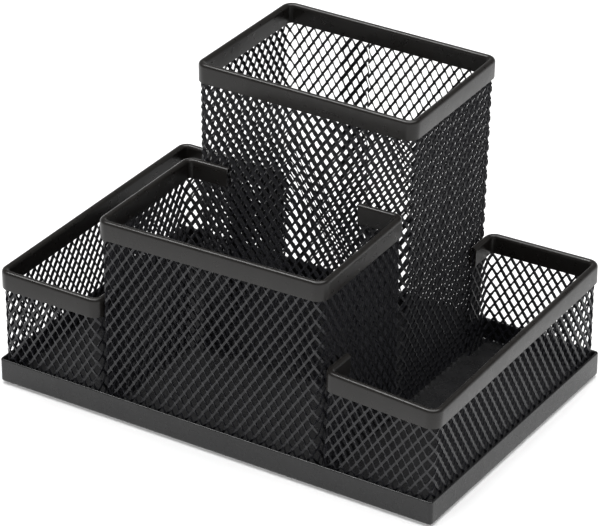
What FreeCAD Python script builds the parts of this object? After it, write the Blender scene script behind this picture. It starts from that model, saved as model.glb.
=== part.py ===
import FreeCAD, Part
import Sketcher
import math
import os

# Four-compartment desk organizer in powder-coated steel mesh: a pressed base pan, four walls of
# expanded mesh, a folded channel over the top edge of each wall, and four thin pads underneath.
# Plan positions run from the base pan's front left corner; levels run from the desk upwards.

os.makedirs("parts", exist_ok=True)
doc = FreeCAD.newDocument("desk_organizer")

SIZES = {
    # base pan
    "base_width": 155.0,
    "base_depth": 103.0,
    "pan_height": 8.0,
    "pan_sheet": 0.4,
    "hem_height": 3.0,
    "pan_corner": 1.2,
    "pan_edge": 0.9,
    # pads
    "pad_height": 0.8,
    "pad_radius": 4.0,
    "pad_inset": 11.0,
    # mesh and the channel folded over it
    "mesh_thick": 1.0,
    "channel_sheet": 0.5,
    "channel_ease": 0.15,
    "channel_height": 6.4,
    "wall_corner": 2.6,
    # compartments, measured to the middle of each wall
    "wall_inset": 1.4,
    "tall_left": 41.85,
    "tall_right": 113.5,
    "tall_front": 50.55,
    "tall_top": 100.8,
    "cup_left": 38.8,
    "cup_right": 114.8,
    "cup_top": 69.2,
    "tray_top": 40.2,
    # turned ends, and the small gap at each welded joint
    "cup_tab": 12.0,
    "tray_tab": 9.2,
    "weld_gap": 0.1,
    "tab_ease": 0.35,
    # how far corners have moved from upright where the wall ends at the top
    "tall_front_lean": 3.75,
    "tall_back_lean": 2.25,
    "cup_lean": 1.8,
    "tray_joint_lean": 1.85,
    "tray_front_lean_x": 2.3,
    "tray_front_lean_y": 1.2,
    "tray_back_lean_x": 0.65,
    "tray_back_lean_y": 1.4,
    # keeps every sketch point on the positive side of its origin, and cutters past their work
    "margin": 10.0,
    "overcut": 1.0,
    "gap_reach": 5.0,
}

sheet = doc.addObject("Spreadsheet::Sheet", "sizes")
for row, (alias, value) in enumerate(SIZES.items(), start=1):
    sheet.set(f"A{row}", alias)
    sheet.set(f"B{row}", str(value))
    sheet.setAlias(f"B{row}", alias)
doc.recompute()

# Derived sizes, as expressions over the sheet
FLOOR = "(sizes.pad_height + sizes.pan_sheet)"
UNDER_FLOOR = f"({FLOOR} - sizes.overcut)"
PAN_TOP = "(sizes.pad_height + sizes.pan_height)"
PAN_LEVELS = (UNDER_FLOOR, FLOOR, PAN_TOP)
MESH_HALF = "(sizes.mesh_thick / 2)"
SLOT_HALF = "(sizes.mesh_thick / 2 + sizes.channel_ease)"
RIM_HALF = "(sizes.mesh_thick / 2 + sizes.channel_ease + sizes.channel_sheet)"
NEIGHBOUR = f"({RIM_HALF} + {MESH_HALF} + sizes.weld_gap)"
FRONT = "sizes.wall_inset"
BACK = "(sizes.base_depth - sizes.wall_inset)"
RIGHT = "(sizes.base_width - sizes.wall_inset)"
CUP_BACK = f"(sizes.tall_front - {NEIGHBOUR})"
TRAY_RISE = f"(sizes.tray_top - {PAN_TOP})"
CUP_SHARE = f"({TRAY_RISE} / (sizes.cup_top - {PAN_TOP}))"
TALL_SHARE = f"({TRAY_RISE} / (sizes.tall_top - {PAN_TOP}))"
MIDDLE_X = f"(({RIGHT} + sizes.tray_front_lean_x + {RIM_HALF}) / 2)"
MIDDLE_Y = f"((({FRONT} - sizes.tray_front_lean_y) + ({BACK} + sizes.tray_back_lean_y)) / 2)"

# Each wall: its top level, then the front left, front right, back right and back left corners.
# A corner is its plan position inside the pan and its lean in x and y at the top.
TALL_CUP = {
    "top": "sizes.tall_top",
    "corners": [
        ("sizes.tall_left", "sizes.tall_front", "0", "0"),
        ("sizes.tall_right", "sizes.tall_front", "sizes.tall_front_lean", "0"),
        ("sizes.tall_right", BACK, "sizes.tall_back_lean", "0"),
        ("sizes.tall_left", BACK, "0", "0"),
    ],
}
FRONT_CUP = {
    "top": "sizes.cup_top",
    "corners": [
        ("sizes.cup_left", FRONT, "0", "0"),
        ("sizes.cup_right", FRONT, "sizes.cup_lean", "0"),
        ("sizes.cup_right", CUP_BACK, "0", "0"),
        ("sizes.cup_left", CUP_BACK, "0", "0"),
    ],
}
LEFT_TRAY = {
    "top": "sizes.tray_top",
    "corners": [
        (FRONT, FRONT, "0", "0"),
        (f"(sizes.cup_left - {NEIGHBOUR} - sizes.tab_ease)", FRONT, "0", "0"),
        (f"(sizes.tall_left - {NEIGHBOUR})", BACK, "0", "0"),
        (FRONT, BACK, "0", "0"),
    ],
}
RIGHT_TRAY = {
    "top": "sizes.tray_top",
    "corners": [
        (f"(sizes.cup_right + {NEIGHBOUR})", FRONT, f"(sizes.cup_lean * {CUP_SHARE})",
         "sizes.tray_joint_lean"),
        (RIGHT, FRONT, "sizes.tray_front_lean_x", "(-sizes.tray_front_lean_y)"),
        (RIGHT, BACK, "(-sizes.tray_back_lean_x)", "sizes.tray_back_lean_y"),
        (f"(sizes.tall_right + {NEIGHBOUR} + sizes.tab_ease)", BACK,
         f"(sizes.tall_back_lean * {TALL_SHARE})", "0"),
    ],
}
OUTWARD = [(-1, -1), (1, -1), (1, 1), (-1, 1)]


def outline(wall, level, grow):
    """Plan corners of a wall's middle surface at a level, moved outwards by grow.

    A wall stands upright inside the pan, and its corners lean from the pan's top edge up.
    """
    share = "0"
    if level not in PAN_LEVELS:
        share = f"(({level} - {PAN_TOP}) / ({wall['top']} - {PAN_TOP}))"
    points = []
    for (x, y, lean_x, lean_y), (side_x, side_y) in zip(wall["corners"], OUTWARD):
        point_x = f"{x} + {lean_x} * {share} + {side_x} * {grow} + sizes.margin"
        point_y = f"{y} + {lean_y} * {share} + {side_y} * {grow} + sizes.margin"
        points.append((point_x, point_y))
    return points


def rounded_corners(points, radius):
    """For each corner of a counter-clockwise outline: arc start, arc end and arc centre."""
    count = len(points)
    arcs = []
    for index, corner in enumerate(points):
        back = (points[index - 1] - corner).normalize()
        ahead = (points[(index + 1) % count] - corner).normalize()
        half_angle = back.getAngle(ahead) / 2
        reach = radius / math.tan(half_angle)
        inward = (back + ahead).normalize() * (radius / math.sin(half_angle))
        arcs.append((corner + back * reach, corner + ahead * reach, corner + inward))
    return arcs


def plan_sketch(body, name, level, outline_points, radius):
    """A closed four-sided sketch with round corners; the sheet holds its corners and its radius."""
    sketch = body.newObject("Sketcher::SketchObject", name)
    plane = [item for item in body.Origin.OriginFeatures if item.Role == "XY_Plane"][0]
    sketch.AttachmentSupport = (plane, "")
    sketch.MapMode = "FlatFace"
    sketch.setExpression("AttachmentOffset.Base.z", level)
    value = body.evalExpression
    corners = [FreeCAD.Vector(value(x), value(y), 0) for x, y in outline_points]
    arcs = rounded_corners(corners, value(radius))
    count = len(corners)
    lines = range(count)
    bends = range(count, 2 * count)
    marks = range(2 * count, 3 * count)
    for index in range(count):
        following = arcs[(index + 1) % count]
        sketch.addGeometry(Part.LineSegment(arcs[index][1], following[0]), False)
    for start, end, centre in arcs:
        circle = Part.Circle(centre, FreeCAD.Vector(0, 0, 1), value(radius))
        first = math.atan2(start.y - centre.y, start.x - centre.x)
        last = math.atan2(end.y - centre.y, end.x - centre.x)
        sketch.addGeometry(Part.ArcOfCircle(circle, first, last), False)
    for corner in corners:
        sketch.addGeometry(Part.Point(corner), True)
    for index in range(count):
        following = (index + 1) % count
        sketch.addConstraint(Sketcher.Constraint("Tangent", lines[index], 2, bends[following], 1))
        sketch.addConstraint(Sketcher.Constraint("Tangent", bends[index], 2, lines[index], 1))
        sketch.addConstraint(Sketcher.Constraint("PointOnObject", marks[index], 1, lines[index]))
        sketch.addConstraint(Sketcher.Constraint("PointOnObject", marks[index], 1, lines[index - 1]))
    for bend in bends[1:]:
        sketch.addConstraint(Sketcher.Constraint("Equal", bends[0], bend))
    held = sketch.addConstraint(Sketcher.Constraint("Radius", bends[0], value(radius)))
    sketch.setExpression(f"Constraints[{held}]", radius)
    for mark, corner, (x, y) in zip(marks, corners, outline_points):
        held = sketch.addConstraint(Sketcher.Constraint("DistanceX", -1, 1, mark, 1, corner.x))
        sketch.setExpression(f"Constraints[{held}]", x)
        held = sketch.addConstraint(Sketcher.Constraint("DistanceY", -1, 1, mark, 1, corner.y))
        sketch.setExpression(f"Constraints[{held}]", y)
    return sketch


def block(name, wall, grow, levels):
    """A solid that fills a wall's outline, moved outwards by grow, through a list of levels."""
    body = doc.addObject("PartDesign::Body", name)
    radius = f"sizes.wall_corner + {grow}"
    sections = []
    for step, level in enumerate(levels):
        sections.append(plan_sketch(body, f"{name}_{step}", level, outline(wall, level, grow), radius))
    loft = body.newObject("PartDesign::AdditiveLoft", f"{name}_loft")
    loft.Profile = sections[0]
    loft.Sections = sections[1:]
    loft.Ruled = True
    doc.recompute()
    return body


def cut(name, base, tool):
    """One solid less another."""
    result = doc.addObject("Part::Cut", name)
    result.Base = base
    result.Tool = tool
    doc.recompute()
    return result


def box(name, low, high):
    """A box between two corners, each three expressions."""
    result = doc.addObject("Part::Box", name)
    for axis, size, start, end in zip("xyz", ("Length", "Width", "Height"), low, high):
        result.setExpression(f"Placement.Base.{axis}", start)
        result.setExpression(size, f"({end}) - ({start})")
    doc.recompute()
    return result


def set_in_place(piece, x="0", y="0"):
    """Move a finished piece from layout positions to the centre of the whole organizer."""
    piece.setExpression("Placement.Base.x", f"{x} - {MIDDLE_X} - sizes.margin")
    piece.setExpression("Placement.Base.y", f"{y} - {MIDDLE_Y} - sizes.margin")
    return piece


def mesh_wall(name, wall, gap):
    """A wall of expanded mesh standing on the pan's floor, as a plain thin sheet."""
    high = f"({wall['top']} - sizes.channel_sheet)"
    over = f"({high} + sizes.overcut)"
    outer = block(f"{name}_outside", wall, MESH_HALF, [FLOOR, PAN_TOP, high])
    inner = block(f"{name}_inside", wall, f"(-{MESH_HALF})", [UNDER_FLOOR, PAN_TOP, over])
    if gap is None:
        return set_in_place(cut(name, outer, inner))
    ring = cut(f"{name}_ring", outer, inner)
    return set_in_place(cut(name, ring, box(f"{name}_gap", *gap)))


def rim(name, wall, gap):
    """The folded channel over a wall's top edge: two faces joined across the top, open below."""
    low = f"({wall['top']} - sizes.channel_height)"
    under = f"({low} - sizes.overcut)"
    deeper = f"({under} - sizes.overcut)"
    ceiling = f"({wall['top']} - sizes.channel_sheet)"
    over = f"({wall['top']} + sizes.overcut)"
    outer = block(f"{name}_outside", wall, RIM_HALF, [low, wall["top"]])
    inner = block(f"{name}_inside", wall, f"(-{RIM_HALF})", [under, over])
    slot_outer = block(f"{name}_slot_outside", wall, SLOT_HALF, [under, ceiling])
    slot_inner = block(f"{name}_slot_inside", wall, f"(-{SLOT_HALF})", [deeper, over])
    slot = cut(f"{name}_slot", slot_outer, slot_inner)
    ring = cut(f"{name}_ring", outer, inner)
    if gap is None:
        return set_in_place(cut(name, ring, slot))
    channel = cut(f"{name}_channel", ring, slot)
    return set_in_place(cut(name, channel, box(f"{name}_gap", *gap)))


def pan_sketch(body, name, level, inset, radius):
    """The pan's rectangle at a level, drawn in by an inset."""
    near = f"{inset} + sizes.margin"
    far_x = f"sizes.base_width - {inset} + sizes.margin"
    far_y = f"sizes.base_depth - {inset} + sizes.margin"
    corners = [(near, near), (far_x, near), (far_x, far_y), (near, far_y)]
    return plan_sketch(body, name, level, corners, radius)


def base_pan():
    """Pressed pan: flat floor, upturned edge, and a hem folded to the inside along the top."""
    hem = "(2 * sizes.pan_sheet)"
    body = doc.addObject("PartDesign::Body", "base_pan")
    blank = body.newObject("PartDesign::Pad", "pan_blank")
    blank.Profile = pan_sketch(body, "pan_plan", "sizes.pad_height", "0", "sizes.pan_corner")
    blank.setExpression("Length", "sizes.pan_height")
    doc.recompute()
    bottom = body.evalExpression("sizes.pad_height") + 0.01
    round_edge = body.newObject("PartDesign::Fillet", "pan_edge_round")
    edges = enumerate(blank.Shape.Edges, start=1)
    round_edge.Base = (blank, [f"Edge{index}" for index, edge in edges if edge.BoundBox.ZMax < bottom])
    round_edge.setExpression("Radius", "sizes.pan_edge")
    doc.recompute()
    opening = body.newObject("PartDesign::Pocket", "pan_opening")
    opening.Profile = pan_sketch(body, "opening_plan", PAN_TOP, hem, f"sizes.pan_corner - {hem}")
    opening.setExpression("Length", "sizes.pan_height - sizes.pan_sheet")
    doc.recompute()
    under_hem = body.newObject("PartDesign::Pocket", "pan_under_hem")
    under_hem.Profile = pan_sketch(body, "under_hem_plan", f"{PAN_TOP} - sizes.hem_height",
                                   "sizes.pan_sheet", "sizes.pan_corner - sizes.pan_sheet")
    under_hem.setExpression("Length", "sizes.pan_height - sizes.hem_height - sizes.pan_edge")
    doc.recompute()
    return set_in_place(body)


def pads():
    """Four thin round pads under the pan's corners."""
    near = "sizes.pad_inset + sizes.margin"
    far_x = "sizes.base_width - sizes.pad_inset + sizes.margin"
    far_y = "sizes.base_depth - sizes.pad_inset + sizes.margin"
    places = {
        "pad_front_left": (near, near),
        "pad_front_right": (far_x, near),
        "pad_back_left": (near, far_y),
        "pad_back_right": (far_x, far_y),
    }
    made = []
    for name, (x, y) in places.items():
        pad = doc.addObject("Part::Cylinder", name)
        pad.setExpression("Radius", "sizes.pad_radius")
        pad.setExpression("Height", "sizes.pad_height")
        made.append(set_in_place(pad, x, y))
    return made


def gap_across(wall_y, left, right, top):
    """Corners of a cutter that parts a left-to-right wall between its two turned ends."""
    low = (f"{left} + sizes.margin", f"{wall_y} - sizes.gap_reach + sizes.margin", "0")
    high = (f"{right} + sizes.margin", f"{wall_y} + sizes.gap_reach + sizes.margin", f"{top} + sizes.overcut")
    return low, high


def gap_along(wall_x, top):
    """Corners of a cutter that parts a front-to-back wall between its two turned ends."""
    front = f"{FRONT} + sizes.tray_tab + sizes.margin"
    back = f"{BACK} - sizes.tray_tab + sizes.margin"
    low = (f"{wall_x} - sizes.gap_reach + sizes.margin", front, "0")
    high = (f"{wall_x} + sizes.gap_reach + sizes.margin", back, f"{top} + sizes.overcut")
    return low, high


WALLS = {
    "tall_cup": (TALL_CUP, None),
    "front_cup": (FRONT_CUP, gap_across(CUP_BACK, "sizes.cup_left + sizes.cup_tab",
                                        "sizes.cup_right - sizes.cup_tab", "sizes.cup_top")),
    "left_tray": (LEFT_TRAY, gap_along("sizes.cup_left", "sizes.tray_top")),
    "right_tray": (RIGHT_TRAY, gap_along(f"sizes.cup_right + {NEIGHBOUR}", "sizes.tray_top")),
}

pieces = [base_pan()]
for place, (wall, gap) in WALLS.items():
    pieces.append(mesh_wall(f"{place}_mesh", wall, gap))
    pieces.append(rim(f"{place}_rim", wall, gap))
pieces.extend(pads())
doc.recompute()

for item in doc.Objects:
    if "Invalid" in item.State or "Error" in item.State:
        raise RuntimeError(f"{item.Name} did not build: {item.State}")

for piece in pieces:
    shape = piece.Shape
    if shape.isNull() or not shape.isValid() or len(shape.Solids) != 1:
        raise RuntimeError(f"{piece.Label} is not one sound solid")
    shape.exportStep(f"parts/{piece.Label}.step")
    extent = shape.optimalBoundingBox(True, False)
    print(f"{piece.Label}: volume {shape.Volume:.1f} mm3, x {extent.XMin:.2f} {extent.XMax:.2f}, "
          f"y {extent.YMin:.2f} {extent.YMax:.2f}, z {extent.ZMin:.2f} {extent.ZMax:.2f}")
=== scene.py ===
import math

import bmesh
import bpy
import numpy as np
from mathutils import Euler, Matrix, Vector


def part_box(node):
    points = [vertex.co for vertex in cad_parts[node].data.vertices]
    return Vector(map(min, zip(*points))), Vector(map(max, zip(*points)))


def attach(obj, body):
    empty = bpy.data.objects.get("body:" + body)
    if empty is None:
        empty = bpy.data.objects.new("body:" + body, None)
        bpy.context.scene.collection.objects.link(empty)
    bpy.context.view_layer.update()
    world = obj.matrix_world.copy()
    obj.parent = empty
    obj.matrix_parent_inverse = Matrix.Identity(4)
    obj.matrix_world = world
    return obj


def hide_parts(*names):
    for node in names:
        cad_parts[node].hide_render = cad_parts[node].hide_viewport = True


# Four-compartment desk organizer: walls of expanded steel mesh, a rolled channel over each wall's
# top edge, a pressed base pan with a folded hem, and thin pads underneath, all powder coated.

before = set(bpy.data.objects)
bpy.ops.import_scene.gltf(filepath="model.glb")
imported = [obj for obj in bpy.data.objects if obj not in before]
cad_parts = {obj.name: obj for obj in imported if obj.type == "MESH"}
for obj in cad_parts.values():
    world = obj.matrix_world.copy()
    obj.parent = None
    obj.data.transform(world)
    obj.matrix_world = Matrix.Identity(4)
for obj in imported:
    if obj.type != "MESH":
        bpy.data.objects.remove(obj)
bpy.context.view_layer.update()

MM = 0.001

# Sizes shared with the CAD model
MESH_HALF = 0.5 * MM
RIM_HALF = 1.15 * MM
CHANNEL_SHEET = 0.5 * MM
CHANNEL_HEIGHT = 6.4 * MM
WELD_GAP = 0.1 * MM
TAB_EASE = 0.35 * MM
NEIGHBOUR = RIM_HALF + MESH_HALF + WELD_GAP
WALL_CORNER = 2.6 * MM
CUP_TAB = 12.0 * MM
TRAY_TAB = 9.2 * MM
PAN_SHEET = 0.4 * MM
PAN_CORNER = 1.2 * MM
PAN_EDGE = 0.9 * MM
HEM_HEIGHT = 3.0 * MM

# How far the corners that lean have moved at the top of each wall, in x and y
TALL_FRONT_LEAN = 3.75 * MM
TALL_BACK_LEAN = 2.25 * MM
CUP_LEAN = 1.8 * MM
TRAY_JOINT_LEAN = 1.85 * MM
TRAY_FRONT_LEAN = (2.3 * MM, -1.2 * MM)
TRAY_BACK_LEAN = (-0.65 * MM, 1.4 * MM)

# The front cup's top edge rises a little from its left side to its right
CUP_TILT = 0.8 * MM

# The expanded mesh: one diamond's width and height, strand width and thickness, and knuckle
DIAMOND_WIDE = 3.33 * MM
DIAMOND_TALL = 5.05 * MM
STRAND_WIDE = 0.64 * MM
STRAND_THICK = 0.5 * MM
KNUCKLE_EXTRA = 0.2 * MM

# How far the strands lean across the sheet: in at their lower edges where negative, and in at
# their upper edges where positive, since the tall cup's strip is fitted the other way up
TALL_TWIST = 0.35 * MM
CUP_TWIST = -0.2 * MM
TRAY_TWIST = -0.15 * MM

# The overlap where the tall cup's strip meets itself: its width, its middle's share of the back
# wall from the left, and how far its strands lie beside and above those they cover
SEAM_WIDE = 8.5 * MM
SEAM_PLACE = 0.45
SEAM_SHIFT = 1.0 * MM
SEAM_RISE = 0.5 * MM

# How far along and up each wall's mesh pattern is moved
TALL_PHASE = (0.3 * MM, 1.1 * MM)
CUP_PHASE = (0.9 * MM, 0.4 * MM)
LEFT_TRAY_PHASE = (1.3 * MM, 1.9 * MM)
RIGHT_TRAY_PHASE = (0.5 * MM, 1.4 * MM)

# Smallest steps that count: when measuring along a path, and when trimming a strip of mesh
TOLERANCE = 0.001 * MM
CUT_TOLERANCE = 0.00001 * MM

# How finely a channel follows a wall: points to each rounded corner, and to each side
CORNER_STEPS = 10
SIDE_STEPS = 6

# The smallest corner left in the pan's plan where its hem stands in from the outside
PAN_LEAST_CORNER = 0.15 * MM

# Edges of sheet that turn by more than this many degrees are shaded crisp
CREASE_ANGLE = 40

# Corners run front left, front right, back right, back left; side n runs from corner n to n + 1,
# so side 0 is the front
RIGHT_SIDE, BACK_SIDE, LEFT_SIDE = 1, 2, 3


# ---------------------------------------------------------------- wall outlines

def inner_box(node):
    """A mesh node's box, drawn in to the middle of its walls: left, right, front, back."""
    low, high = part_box(node)
    return low.x + MESH_HALF, high.x - MESH_HALF, low.y + MESH_HALF, high.y - MESH_HALF


def make_wall(corners, leans, top, seam_side, seam_share=0.5, tilt=0.0):
    """A wall's outline: upright corners, how far each leans at the top, where its path starts, and
    how far its top edge drops at the left and rises at the right."""
    wall = {
        "corners": np.array(corners, float),
        "leans": np.array(leans, float),
        "top": top,
        "seam_side": seam_side,
        "seam_share": seam_share,
        "tilt": tilt,
    }
    wall["stops"] = path_stops(wall)
    return wall


def corner_arcs(points):
    """Arc start, end and centre at each rounded corner; points are (corner, level, xy)."""
    back = np.roll(points, 1, axis=0) - points
    ahead = np.roll(points, -1, axis=0) - points
    back /= np.linalg.norm(back, axis=-1, keepdims=True)
    ahead /= np.linalg.norm(ahead, axis=-1, keepdims=True)
    half = np.arccos(np.clip((back * ahead).sum(-1, keepdims=True), -1, 1)) / 2
    reach = WALL_CORNER / np.tan(half)
    inward = back + ahead
    inward *= WALL_CORNER / np.sin(half) / np.linalg.norm(inward, axis=-1, keepdims=True)
    return points + back * reach, points + ahead * reach, points + inward


def height_share(wall, z):
    """How far up a wall each level is: 0 at the pan's edge or below it, and 1 at the top."""
    return np.clip((z - PAN_TOP) / (wall["top"] - PAN_TOP), 0, 1)


def arcs_at(wall, z):
    """The rounded corners of a wall at each of the levels z."""
    share = height_share(wall, z)
    points = wall["corners"][:, None, :] + wall["leans"][:, None, :] * share[None, :, None]
    return corner_arcs(points)


def path_parts(wall):
    """The path once round a wall: half of the seam side, then arcs and sides, then the other half."""
    side, share = wall["seam_side"], wall["seam_share"]
    parts = [("line", side, share, 1.0)]
    for step in range(1, 4):
        parts.append(("arc", (side + step) % 4, 0.0, 1.0))
        parts.append(("line", (side + step) % 4, 0.0, 1.0))
    parts.append(("arc", side, 0.0, 1.0))
    parts.append(("line", side, 0.0, share))
    return parts


def path_stops(wall):
    """Path distances, on the upright lower part of the wall, where each part of the path ends."""
    starts, ends, centres = arcs_at(wall, np.array([PAN_TOP]))
    stops = [0.0]
    for kind, index, first, last in path_parts(wall):
        if kind == "line":
            run = np.linalg.norm(starts[(index + 1) % 4, 0] - ends[index, 0]) * (last - first)
        else:
            chord = np.linalg.norm(ends[index, 0] - starts[index, 0])
            run = 2 * WALL_CORNER * math.asin(chord / 2 / WALL_CORNER)
        stops.append(stops[-1] + run)
    return np.array(stops)


def wrap(wall, along, z, out):
    """Points on a wall: distance along its path, level, and distance outwards from its middle."""
    along, z, out = np.broadcast_arrays(along, z, out)
    starts, ends, centres = arcs_at(wall, z)
    stops = wall["stops"]
    along = np.minimum(np.mod(along, stops[-1] + TOLERANCE), stops[-1])
    place = np.zeros((len(z), 2))
    normal = np.zeros((len(z), 2))
    for number, (kind, index, first, last) in enumerate(path_parts(wall)):
        here = (along >= stops[number]) & (along <= stops[number + 1])
        part = (along[here] - stops[number]) / (stops[number + 1] - stops[number])
        if kind == "line":
            part = (first + (last - first) * part)[:, None]
            begin = ends[index][here]
            run = starts[(index + 1) % 4][here] - begin
            unit = run / np.linalg.norm(run, axis=1, keepdims=True)
            place[here] = begin + run * part
            normal[here] = np.stack([unit[:, 1], -unit[:, 0]], axis=1)
        else:
            centre = centres[index][here]
            first_ray = (starts[index][here] - centre) / WALL_CORNER
            last_ray = (ends[index][here] - centre) / WALL_CORNER
            turn = np.arccos(np.clip((first_ray * last_ray).sum(1), -1, 1)) * part
            cos, sin = np.cos(turn), np.sin(turn)
            ray = np.stack([first_ray[:, 0] * cos - first_ray[:, 1] * sin,
                            first_ray[:, 0] * sin + first_ray[:, 1] * cos], axis=1)
            place[here] = centre + ray * WALL_CORNER
            normal[here] = ray
    flat = place + normal * out[:, None]
    left, right = wall["corners"][:, 0].min(), wall["corners"][:, 0].max()
    across = (2 * flat[:, 0] - left - right) / (right - left)
    return np.column_stack([flat, z + wall["tilt"] * across * height_share(wall, z)])


def new_piece(name, points, faces, material, slot, *stands_for):
    """A mesh object that rides on the organizer and stands for the named CAD nodes."""
    mesh = bpy.data.meshes.new(name)
    mesh.from_pydata([tuple(p) for p in points], [], faces)
    mesh.materials.append(material)
    mesh.validate()
    piece = bpy.data.objects.new(name, mesh)
    bpy.context.scene.collection.objects.link(piece)
    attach(piece, "root")
    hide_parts(*stands_for)
    return piece


# ---------------------------------------------------------------- materials

def new_material(name, colour, roughness):
    """A plain shader with an object-space coordinate; returns its nodes too."""
    material = bpy.data.materials.new(name)
    material.use_nodes = True
    tree = material.node_tree
    shader = tree.nodes["Principled BSDF"]
    shader.inputs["Base Color"].default_value = (*colour, 1)
    shader.inputs["Roughness"].default_value = roughness
    place = tree.nodes.new("ShaderNodeTexCoord")
    return material, tree, shader, place.outputs["Object"]


def noise(tree, place, scale, detail):
    """A noise pattern whose scale is in features per metre."""
    node = tree.nodes.new("ShaderNodeTexNoise")
    node.inputs["Scale"].default_value = scale
    node.inputs["Detail"].default_value = detail
    tree.links.new(place, node.inputs["Vector"])
    return node.outputs["Fac"]


def spread(tree, value, low, high):
    """The middle of a noise pattern stretched over a range of values."""
    node = tree.nodes.new("ShaderNodeMapRange")
    node.inputs["From Min"].default_value = 0.35
    node.inputs["From Max"].default_value = 0.65
    node.inputs["To Min"].default_value = low
    node.inputs["To Max"].default_value = high
    tree.links.new(value, node.inputs["Value"])
    return node.outputs["Result"]


def tint(tree, value, first, second):
    """A colour between two, chosen by a pattern."""
    node = tree.nodes.new("ShaderNodeMix")
    node.data_type = "RGBA"
    node.inputs[6].default_value = (*first, 1)
    node.inputs[7].default_value = (*second, 1)
    tree.links.new(value, node.inputs["Factor"])
    return node.outputs[2]


def bump(tree, shader, height, distance, strength):
    """Fine relief on a shader."""
    node = tree.nodes.new("ShaderNodeBump")
    node.inputs["Distance"].default_value = distance
    node.inputs["Strength"].default_value = strength
    tree.links.new(height, node.inputs["Height"])
    tree.links.new(node.outputs["Normal"], shader.inputs["Normal"])


def powder_coat(name, dark, light, smooth, rough, peel, ior):
    """Satin black powder coat: orange-peel relief, faint mottling, and uneven sheen."""
    material, tree, shader, place = new_material(name, dark, rough)
    shader.inputs["IOR"].default_value = ior
    mottle = spread(tree, noise(tree, place, 160, 4), 0, 1)
    tree.links.new(tint(tree, mottle, dark, light), shader.inputs["Base Color"])
    sheen = spread(tree, noise(tree, place, 420, 3), smooth, rough)
    tree.links.new(sheen, shader.inputs["Roughness"])
    bump(tree, shader, noise(tree, place, 1300, 3), 0.03 * MM, peel)
    return material


def foam_rubber(name):
    """Dark closed-cell pad material with a fine pitted surface."""
    material, tree, shader, place = new_material(name, (0.03, 0.03, 0.032), 0.9)
    cells = tree.nodes.new("ShaderNodeTexVoronoi")
    cells.inputs["Scale"].default_value = 2600
    tree.links.new(place, cells.inputs["Vector"])
    shade = tint(tree, cells.outputs["Distance"], (0.02, 0.02, 0.021), (0.05, 0.05, 0.053))
    tree.links.new(shade, shader.inputs["Base Color"])
    bump(tree, shader, cells.outputs["Distance"], 0.05 * MM, 0.6)
    return material


pan_coat = powder_coat("pan_coat", dark=(0.009, 0.009, 0.0095), light=(0.012, 0.012, 0.0125),
                       smooth=0.25, rough=0.31, peel=0.1, ior=1.44)
rim_coat = powder_coat("rim_coat", dark=(0.0092, 0.0082, 0.0074), light=(0.0118, 0.0106, 0.0096),
                       smooth=0.27, rough=0.33, peel=0.1, ior=1.38)
mesh_coat = powder_coat("mesh_coat", dark=(0.006, 0.006, 0.008), light=(0.009, 0.009, 0.0115),
                        smooth=0.32, rough=0.42, peel=0.2, ior=1.42)
pad_foam = foam_rubber("pad_foam")


# ---------------------------------------------------------------- expanded mesh

def lattice(length, low, high, phase_along, phase_up, twist):
    """A flat strip of expanded mesh as points (along, level, out) and faces, cut to a rectangle.

    Each diamond hole has ten corners in front and ten behind. Its upper half stands out by the
    twist and its lower half stands in by it, which leans the strands between the holes.
    """
    wide, tall = DIAMOND_WIDE / 2, DIAMOND_TALL / 2
    slope = math.hypot(wide, tall)
    half = STRAND_WIDE / 2
    side_tip = wide - half * slope / tall
    end_tip = tall - half * slope / wide - KNUCKLE_EXTRA
    end_half = KNUCKLE_EXTRA * wide / tall
    middle = ((side_tip + end_half) / 2, end_tip / 2)
    quarter = [(side_tip, 0.0), middle, (end_half, end_tip)]
    ring = quarter + [(-x, y) for x, y in reversed(quarter)]
    ring += [(-x, -y) for x, y in quarter[1:]]
    ring += [(x, -y) for x, y in reversed(quarter[1:])]
    ring = np.array(ring)
    (right, upper_right, top_right, top_left, upper_left,
     left, lower_left, bottom_left, bottom_right, lower_right) = range(len(ring))

    columns = range(-2, int(length / wide) + 4)
    rows = range(int((low - high) / tall) - 2, 3)
    holes = {}
    points = []
    for column in columns:
        for row in rows:
            if (column + row) % 2:
                holes[column, row] = len(points) * 2 * len(ring)
                points.append((column * wide - phase_along, high + row * tall - phase_up))
    centres = np.array(points)
    around = centres[:, None, :] + ring[None, :, :]
    lift = np.broadcast_to(twist * np.sign(ring[:, 1]), around.shape[:2])
    front = np.dstack([around, lift + STRAND_THICK / 2])
    back = np.dstack([around, lift - STRAND_THICK / 2])
    points = np.concatenate([front, back], axis=1).reshape(-1, 3)

    faces = []
    for (column, row), start in holes.items():
        for corner in range(len(ring)):
            after = start + (corner + 1) % len(ring)
            faces.append((start + corner, after, after + len(ring), start + corner + len(ring)))

    def both_sides(polygon):
        faces.append(tuple(polygon))
        faces.append(tuple(index + len(ring) for index in reversed(polygon)))

    for column in columns:
        for row in rows:
            if (column + row) % 2:
                continue
            above = holes.get((column, row + 1))
            below = holes.get((column, row - 1))
            east = holes.get((column + 1, row))
            west = holes.get((column - 1, row))
            if None not in (above, below, east, west):
                both_sides([east + left, above + bottom_right, above + bottom_left,
                            west + right, below + top_left, below + top_right])
            if above is not None and east is not None:
                both_sides([above + bottom_right, east + left, east + upper_left, above + lower_right])
                both_sides([above + lower_right, east + upper_left, east + top_left, above + right])
            if above is not None and west is not None:
                both_sides([above + bottom_left, above + lower_left, west + upper_right, west + right])
                both_sides([above + lower_left, above + left, west + top_right, west + upper_right])
    return cut_strip(points, faces, length, low, high)


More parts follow.
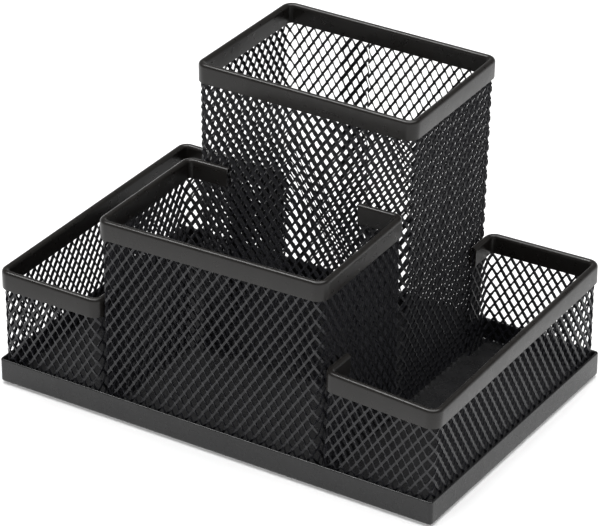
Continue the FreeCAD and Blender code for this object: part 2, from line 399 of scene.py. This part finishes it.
def cut_strip(points, faces, length, low, high):
    """Trims a flat strip to a rectangle and closes the cut strand ends."""
    mesh = bpy.data.meshes.new("strip")
    mesh.from_pydata([tuple(p) for p in points], [], faces)
    work = bmesh.new()
    work.from_mesh(mesh)
    bpy.data.meshes.remove(mesh)
    cuts = [((0, 0, 0), (-1, 0, 0)), ((length, 0, 0), (1, 0, 0)),
            ((0, low, 0), (0, -1, 0)), ((0, high, 0), (0, 1, 0))]
    for place, outward in cuts:
        everything = work.verts[:] + work.edges[:] + work.faces[:]
        bmesh.ops.bisect_plane(work, geom=everything, dist=CUT_TOLERANCE, plane_co=place,
                               plane_no=outward, clear_outer=True)
        rim_edges = [edge for edge in work.edges if edge.is_boundary]
        bmesh.ops.holes_fill(work, edges=rim_edges, sides=12)
    work.verts.index_update()
    points = np.array([vertex.co for vertex in work.verts])
    faces = [tuple(vertex.index for vertex in face.verts) for face in work.faces]
    work.free()
    return points, faces


def mesh_wall(name, wall, start, finish, phase, twist, overlap=0.0):
    """A wall of expanded mesh wrapped round its outline from start to finish along the path."""
    phase_along, phase_up = phase
    low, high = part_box(name)
    strips = [(start, finish, low.z, high.z, 0.0)]
    if overlap:
        lip = high.z - CHANNEL_HEIGHT
        strips.append((finish, finish + overlap, low.z, lip, -STRAND_THICK - 2 * abs(twist)))
    points = np.zeros((0, 3))
    faces = []
    for number, (first, last, bottom, top, inset) in enumerate(strips):
        shift = phase_along + number * SEAM_SHIFT
        drop = phase_up - number * (CHANNEL_HEIGHT + SEAM_RISE)
        flat, polygons = lattice(last - first, bottom, top, shift, drop, twist)
        faces += [tuple(index + len(points) for index in polygon) for polygon in polygons]
        points = np.concatenate([points, wrap(wall, flat[:, 0] + first, flat[:, 1], flat[:, 2] + inset)])
    new_piece(name.replace("_mesh", "_expanded_mesh"), points, faces, mesh_coat, "mesh_coat", name)


# ---------------------------------------------------------------- rolled channels

def arc_points(centre, radius, first, last, steps):
    """Points on an arc in degrees, both ends included."""
    angles = [math.radians(first + (last - first) * step / steps) for step in range(steps + 1)]
    return [(centre[0] + radius * math.cos(a), centre[1] + radius * math.sin(a)) for a in angles]


def channel_profile(top):
    """Cross-section of the channel: out from the wall's middle, and level. Runs counter-clockwise.

    The crown is a half circle outside and inside, and each lower edge is rounded.
    """
    low = top - CHANNEL_HEIGHT
    lip = CHANNEL_SHEET / 2
    inside = RIM_HALF - CHANNEL_SHEET
    shoulder = top - RIM_HALF
    profile = arc_points((0.0, shoulder), RIM_HALF, 0, 180, 20)
    profile += arc_points((-RIM_HALF + lip, low + lip), lip, 180, 360, 8)
    profile += arc_points((0.0, shoulder), inside, 180, 0, 10)
    profile += arc_points((RIM_HALF - lip, low + lip), lip, 180, 360, 8)
    return profile


def path_samples(wall, start, finish):
    """Distances along a wall's path: close together round corners and sparse along sides."""
    stops = wall["stops"]
    found = [start, finish]
    for number, (kind, index, first, last) in enumerate(path_parts(wall)):
        steps = CORNER_STEPS if kind == "arc" else SIDE_STEPS
        for step in range(steps):
            found.append(stops[number] + (stops[number + 1] - stops[number]) * step / steps)
    return sorted(value for value in set(found) if start <= value <= finish)


def channel(name, wall, start, finish, closed):
    """A rolled channel swept round the top of a wall."""
    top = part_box(name)[1].z
    profile = channel_profile(top)
    samples = path_samples(wall, start, finish)
    if closed:
        samples = samples[:-1]
    out = np.array([p[0] for p in profile])
    level = np.array([p[1] for p in profile])
    points = np.concatenate([wrap(wall, np.full(len(profile), s), level, out) for s in samples])
    size = len(profile)
    rings = len(samples)
    faces = []
    for ring in range(rings if closed else rings - 1):
        this, following = ring * size, (ring + 1) % rings * size
        for corner in range(size):
            after = (corner + 1) % size
            faces.append((this + corner, following + corner, following + after, this + after))
    if not closed:
        faces.append(tuple(range(size)))
        faces.append(tuple(reversed(range((rings - 1) * size, rings * size))))
    piece = new_piece(name.replace("_rim", "_channel"), points, faces, rim_coat, "rim_coat", name)
    smooth_by_angle(piece, CREASE_ANGLE)


def smooth_by_angle(piece, degrees):
    """Smooth shading, with edges sharper than an angle left crisp."""
    mesh = piece.data
    mesh.shade_smooth()
    mesh.set_sharp_from_angle(angle=math.radians(degrees))


# ---------------------------------------------------------------- base pan

def pan_section():
    """Cross-section of the pan's edge: inset from the outside face, and level above the bottom."""
    height = pan_high.z - pan_low.z
    lip = PAN_SHEET / 2
    hem_low = height - HEM_HEIGHT
    section = arc_points((PAN_EDGE, PAN_EDGE), PAN_EDGE, 270, 180, 8)
    section += arc_points((PAN_SHEET, height - PAN_SHEET), PAN_SHEET, 180, 0, 12)
    section += arc_points((PAN_SHEET + lip, hem_low + lip), lip, 0, -180, 6)
    section += arc_points((PAN_EDGE, PAN_EDGE), PAN_EDGE - PAN_SHEET, 180, 270, 8)
    return section


def pan_ring(inset, level):
    """A rounded rectangle round the pan at an inset and a level."""
    radius = max(PAN_CORNER - inset, PAN_LEAST_CORNER)
    middles = [(pan_low.x, pan_low.y, 1, 1, 180), (pan_high.x, pan_low.y, -1, 1, 270),
               (pan_high.x, pan_high.y, -1, -1, 0), (pan_low.x, pan_high.y, 1, -1, 90)]
    points = []
    for x, y, toward_x, toward_y, first in middles:
        centre = (x + toward_x * (inset + radius), y + toward_y * (inset + radius))
        points += [(px, py, level) for px, py in arc_points(centre, radius, first, first + 90, 8)]
    return points


def base_pan():
    """The pressed pan, with its floor, upturned edge and folded hem, as one closed skin."""
    rings = [pan_ring(inset, pan_low.z + level) for inset, level in pan_section()]
    size = len(rings[0])
    points = [point for ring in rings for point in ring]
    faces = [tuple(reversed(range(size)))]
    for ring in range(len(rings) - 1):
        for corner in range(size):
            after = (corner + 1) % size
            faces.append((ring * size + corner, ring * size + after,
                          (ring + 1) * size + after, (ring + 1) * size + corner))
    faces.append(tuple(range((len(rings) - 1) * size, len(rings) * size)))
    piece = new_piece("pressed_pan", points, faces, pan_coat, "pan_coat", "base_pan")
    smooth_by_angle(piece, CREASE_ANGLE)


# ---------------------------------------------------------------- the organizer

pan_low, pan_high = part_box("base_pan")
PAN_TOP = pan_high.z
TALL_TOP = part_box("tall_cup_rim")[1].z
CUP_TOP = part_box("front_cup_rim")[1].z
TRAY_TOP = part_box("left_tray_rim")[1].z
UPRIGHT = (0.0, 0.0)

tall_left, tall_right, tall_front, tall_back = inner_box("tall_cup_mesh")
tall_right -= TALL_FRONT_LEAN
cup_left, cup_right, cup_front, cup_back = inner_box("front_cup_mesh")
cup_right -= CUP_LEAN
tray_left = inner_box("left_tray_mesh")[0]
tray_right = inner_box("right_tray_mesh")[1] - TRAY_FRONT_LEAN[0]
cup_share = (TRAY_TOP - PAN_TOP) / (CUP_TOP - PAN_TOP)
tall_share = (TRAY_TOP - PAN_TOP) / (TALL_TOP - PAN_TOP)

# The seam of the tall cup's strip lies on its back wall, a little left of the middle
seam_at = 1 - (SEAM_PLACE - SEAM_WIDE / 2 / (tall_right - tall_left))
tall_cup = make_wall(
    [(tall_left, tall_front), (tall_right, tall_front), (tall_right, tall_back), (tall_left, tall_back)],
    [UPRIGHT, (TALL_FRONT_LEAN, 0.0), (TALL_BACK_LEAN, 0.0), UPRIGHT], TALL_TOP, BACK_SIDE, seam_at)
front_cup = make_wall(
    [(cup_left, cup_front), (cup_right, cup_front), (cup_right, cup_back), (cup_left, cup_back)],
    [UPRIGHT, (CUP_LEAN, 0.0), UPRIGHT, UPRIGHT], CUP_TOP, BACK_SIDE, tilt=CUP_TILT)
left_tray = make_wall(
    [(tray_left, cup_front), (cup_left - NEIGHBOUR - TAB_EASE, cup_front),
     (tall_left - NEIGHBOUR, tall_back), (tray_left, tall_back)],
    [UPRIGHT, UPRIGHT, UPRIGHT, UPRIGHT], TRAY_TOP, RIGHT_SIDE)
right_tray = make_wall(
    [(cup_right + NEIGHBOUR, cup_front), (tray_right, cup_front),
     (tray_right, tall_back), (tall_right + NEIGHBOUR + TAB_EASE, tall_back)],
    [(CUP_LEAN * cup_share, TRAY_JOINT_LEAN), TRAY_FRONT_LEAN, TRAY_BACK_LEAN,
     (TALL_BACK_LEAN * tall_share, 0.0)], TRAY_TOP, LEFT_SIDE)


def open_run(wall, tab):
    """Where an open wall's path starts and ends, given how long its turned ends are."""
    stops = wall["stops"]
    return stops[1] - tab, stops[-2] + tab


tall_round = tall_cup["stops"][-1]
mesh_wall("tall_cup_mesh", tall_cup, 0.0, tall_round, TALL_PHASE, TALL_TWIST, SEAM_WIDE)
channel("tall_cup_rim", tall_cup, 0.0, tall_round, True)
for place, wall, tab, phase, twist in [
        ("front_cup", front_cup, CUP_TAB, CUP_PHASE, CUP_TWIST),
        ("left_tray", left_tray, TRAY_TAB, LEFT_TRAY_PHASE, TRAY_TWIST),
        ("right_tray", right_tray, TRAY_TAB, RIGHT_TRAY_PHASE, TRAY_TWIST)]:
    begin, end = open_run(wall, tab)
    mesh_wall(f"{place}_mesh", wall, begin, end, phase, twist)
    channel(f"{place}_rim", wall, begin, end, False)
base_pan()

for name in ("pad_front_left", "pad_front_right", "pad_back_left", "pad_back_right"):
    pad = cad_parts[name]
    pad.data.materials.clear()
    pad.data.materials.append(pad_foam)


# ---------------------------------------------------------------- floor, light and camera

def pale_floor():
    """A plain pale table top, 60 m square so that its edges stay far out of view."""
    half = 30.0
    mesh = bpy.data.meshes.new("table_top")
    mesh.from_pydata([(-half, -half, 0), (half, -half, 0), (half, half, 0), (-half, half, 0)],
                     [], [(0, 1, 2, 3)])
    floor = bpy.data.objects.new("table_top", mesh)
    bpy.context.scene.collection.objects.link(floor)
    material, tree, shader, place = new_material("pale_table", (0.93, 0.93, 0.93), 0.7)
    tone = spread(tree, noise(tree, place, 3, 2), 0, 1)
    tree.links.new(tint(tree, tone, (0.92, 0.92, 0.92), (0.94, 0.94, 0.94)), shader.inputs["Base Color"])
    mesh.materials.append(material)


def studio_light():
    """A broad soft light overhead, a smaller key light to its left, and a room paler at the horizon.

    The key light casts no shadow, which leaves the floor beside the pan clean.
    """
    for name, width, energy, toward, shadow in [
            ("overhead_softbox", 60, 3.5, (0, 0, 1), True),
            ("left_key", 14, 1.1, (-0.46, -0.14, 0.88), False)]:
        lamp = bpy.data.lights.new(name, "SUN")
        lamp.angle = math.radians(width)
        lamp.energy = energy
        lamp.use_shadow = shadow
        box = bpy.data.objects.new(name, lamp)
        box.rotation_euler = Vector(toward).to_track_quat("Z", "Y").to_euler()
        bpy.context.scene.collection.objects.link(box)

    world = bpy.data.worlds.new("studio_room")
    world.use_nodes = True
    tree = world.node_tree
    place = tree.nodes.new("ShaderNodeTexCoord")
    split = tree.nodes.new("ShaderNodeSeparateXYZ")
    tree.links.new(place.outputs["Generated"], split.inputs["Vector"])
    height = tree.nodes.new("ShaderNodeMapRange")
    height.interpolation_type = "SMOOTHSTEP"
    height.inputs["From Min"].default_value = 0.05
    height.inputs["From Max"].default_value = 0.32
    height.inputs["To Min"].default_value = 0.9
    height.inputs["To Max"].default_value = 0.16
    tree.links.new(split.outputs["Z"], height.inputs["Value"])
    tree.links.new(height.outputs["Result"], tree.nodes["Background"].inputs["Strength"])
    tree.nodes["Background"].inputs["Color"].default_value = (1, 1, 1, 1)
    bpy.context.scene.world = world


def studio_camera():
    """A long lens from the front right, looking down on the organizer."""
    azimuth, elevation, roll = math.radians(32.149), math.radians(29.046), math.radians(0.077)
    data = bpy.data.cameras.new("camera")
    data.sensor_width = 36.0
    data.lens = 219.25
    data.shift_x = -0.0022
    data.shift_y = 0.0008
    data.clip_start = 0.05
    data.clip_end = 100.0
    camera = bpy.data.objects.new("camera", data)
    bpy.context.scene.collection.objects.link(camera)
    camera.location = Vector((519.19, -827.13, 583.86)) * MM
    level_view = Euler((math.pi / 2 - elevation, 0, azimuth)).to_matrix()
    camera.rotation_euler = (level_view @ Matrix.Rotation(roll, 3, "Z")).to_euler()
    bpy.context.scene.camera = camera


pale_floor()
studio_light()
studio_camera()
bpy.context.scene.view_settings.view_transform = "Standard"
